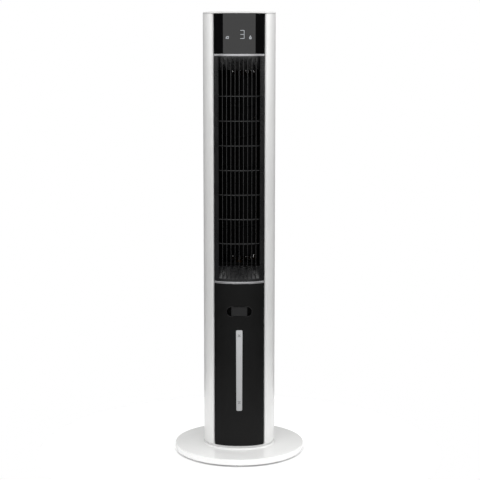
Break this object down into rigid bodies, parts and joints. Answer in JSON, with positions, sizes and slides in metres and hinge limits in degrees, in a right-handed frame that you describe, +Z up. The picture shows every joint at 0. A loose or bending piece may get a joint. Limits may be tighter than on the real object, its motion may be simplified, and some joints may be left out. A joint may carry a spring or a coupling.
{
  "type": "evaporative cooler",
  "caption": "Free-standing tower air cooler on a round base, with an upright louvred outlet, a display panel and a pull-out water tank with a level window.",
  "frame": {"origin": "centre of the base on the floor", "axes": "+Z up; the front, with the display, the louvres and the tank, faces -Y; +X is to the right of someone who looks at the front"},
  "size_m": [0.319, 0.319, 1.08],
  "materials": {
    "white_abs": "moulded, satin gloss",
    "black_abs": "moulded, fine texture",
    "black_gloss": "polished",
    "silver_trim": "satin",
    "grey_pp": "moulded",
    "clear_pp": "translucent",
    "rubber": "matt",
    "steel": "drawn",
    "bronze": "sintered",
    "circuit_board": "lacquered",
    "cellulose": "treated paper honeycomb",
    "nylon_mesh": "fine mesh"
  },
  "bodies": {
    "column": {"base_cover": "white_abs", "base_pan": "black_abs", "foot_1": "rubber", "foot_2": "rubber", "foot_3": "rubber", "foot_4": "rubber", "foot_5": "rubber", "foot_6": "rubber", "foot_7": "rubber", "foot_8": "rubber", "column_plinth": "white_abs", "shell_right": "white_abs", "shell_left": "white_abs", "rear_lower_cover": "white_abs", "rear_upper_cover": "white_abs", "inlet_gland": "black_abs", "top_cap": "white_abs", "control_panel": "black_gloss", "button_board": "circuit_board", "display_lens": "black_gloss", "display_board": "circuit_board", "digit_module": "black_abs", "lower_trim": "silver_trim", "upper_trim": "silver_trim", "front_grille": "black_abs", "swing_motor": "steel", "fan_motor": "steel", "lower_bearing": "bronze", "air_duct": "grey_pp", "tank_bay_roof": "grey_pp", "water_trough": "grey_pp", "riser_pipe": "grey_pp", "main_board": "circuit_board"},
    "blower": {"blower_wheel": "black_abs", "motor_shaft": "steel", "blower_axle": "steel"},
    "louvre_1": {"vane_1": "black_abs"},
    "louvre_2": {"vane_2": "black_abs"},
    "louvre_3": {"vane_3": "black_abs"},
    "louvre_4": {"vane_4": "black_abs"},
    "louvre_5": {"vane_5": "black_abs"},
    "link": {"vane_link": "black_abs"},
    "push_1": {"button_1": "black_abs"},
    "push_2": {"button_2": "black_abs"},
    "push_3": {"button_3": "black_abs"},
    "push_4": {"button_4": "black_abs"},
    "push_5": {"button_5": "black_abs"},
    "rear_door": {"rear_grille": "white_abs", "dust_filter": "nylon_mesh", "pad_frame": "grey_pp", "cooling_pad": "cellulose"},
    "tank": {"tank_tub": "clear_pp", "tank_front": "black_abs", "level_window": "clear_pp", "grip_cup": "black_abs", "grip_plate": "black_abs", "pump_body": "black_abs", "pump_pipe": "grey_pp"},
    "impeller": {"pump_impeller": "grey_pp"}
  },
  "joints": [
    {"name": "blower_spin", "type": "hinge", "parent": "column", "child": "blower", "pos_m": [0, 0.004, 0.7], "axis": [0, 0, 1], "continuous": true},
    {"name": "vane_1_swing", "type": "hinge", "parent": "column", "child": "louvre_1", "pos_m": [-0.04, -0.054, 0.7], "axis": [0, 0, 1], "range_deg": [-30, 30]},
    {"name": "vane_2_swing", "type": "hinge", "parent": "column", "child": "louvre_2", "pos_m": [-0.02, -0.054, 0.7], "axis": [0, 0, 1], "range_deg": [-30, 30]},
    {"name": "vane_3_swing", "type": "hinge", "parent": "column", "child": "louvre_3", "pos_m": [0, -0.054, 0.7], "axis": [0, 0, 1], "range_deg": [-30, 30]},
    {"name": "vane_4_swing", "type": "hinge", "parent": "column", "child": "louvre_4", "pos_m": [0.02, -0.054, 0.7], "axis": [0, 0, 1], "range_deg": [-30, 30]},
    {"name": "vane_5_swing", "type": "hinge", "parent": "column", "child": "louvre_5", "pos_m": [0.04, -0.054, 0.7], "axis": [0, 0, 1], "range_deg": [-30, 30]},
    {"name": "link_swing", "type": "hinge", "parent": "louvre_3", "child": "link", "pos_m": [0, -0.042, 0.477], "axis": [0, 0, 1], "range_deg": [-30, 30]},
    {"name": "button_1_press", "type": "slide", "parent": "column", "child": "push_1", "axis": [0, 0, -1], "range_m": [0, 0.001], "stiffness_N_per_m": 400, "springref_m": -0.001},
    {"name": "button_2_press", "type": "slide", "parent": "column", "child": "push_2", "axis": [0, 0, -1], "range_m": [0, 0.001], "stiffness_N_per_m": 400, "springref_m": -0.001},
    {"name": "button_3_press", "type": "slide", "parent": "column", "child": "push_3", "axis": [0, 0, -1], "range_m": [0, 0.001], "stiffness_N_per_m": 400, "springref_m": -0.001},
    {"name": "button_4_press", "type": "slide", "parent": "column", "child": "push_4", "axis": [0, 0, -1], "range_m": [0, 0.001], "stiffness_N_per_m": 400, "springref_m": -0.001},
    {"name": "button_5_press", "type": "slide", "parent": "column", "child": "push_5", "axis": [0, 0, -1], "range_m": [0, 0.001], "stiffness_N_per_m": 400, "springref_m": -0.001},
    {"name": "rear_door_slide", "type": "slide", "parent": "column", "child": "rear_door", "axis": [0, 1, 0], "range_m": [0, 0.06]},
    {"name": "tank_slide", "type": "slide", "parent": "column", "child": "tank", "axis": [0, -1, 0], "range_m": [0, 0.14]},
    {"name": "impeller_spin", "type": "hinge", "parent": "tank", "child": "impeller", "pos_m": [0.032, 0.035, 0.045], "axis": [0, 0, 1], "continuous": true}
  ],
  "couplings": [
    {"joint": "vane_1_swing", "follows": "vane_3_swing", "ratio": 1},
    {"joint": "vane_2_swing", "follows": "vane_3_swing", "ratio": 1},
    {"joint": "vane_4_swing", "follows": "vane_3_swing", "ratio": 1},
    {"joint": "vane_5_swing", "follows": "vane_3_swing", "ratio": 1},
    {"joint": "link_swing", "follows": "vane_3_swing", "ratio": -1}
  ]
}
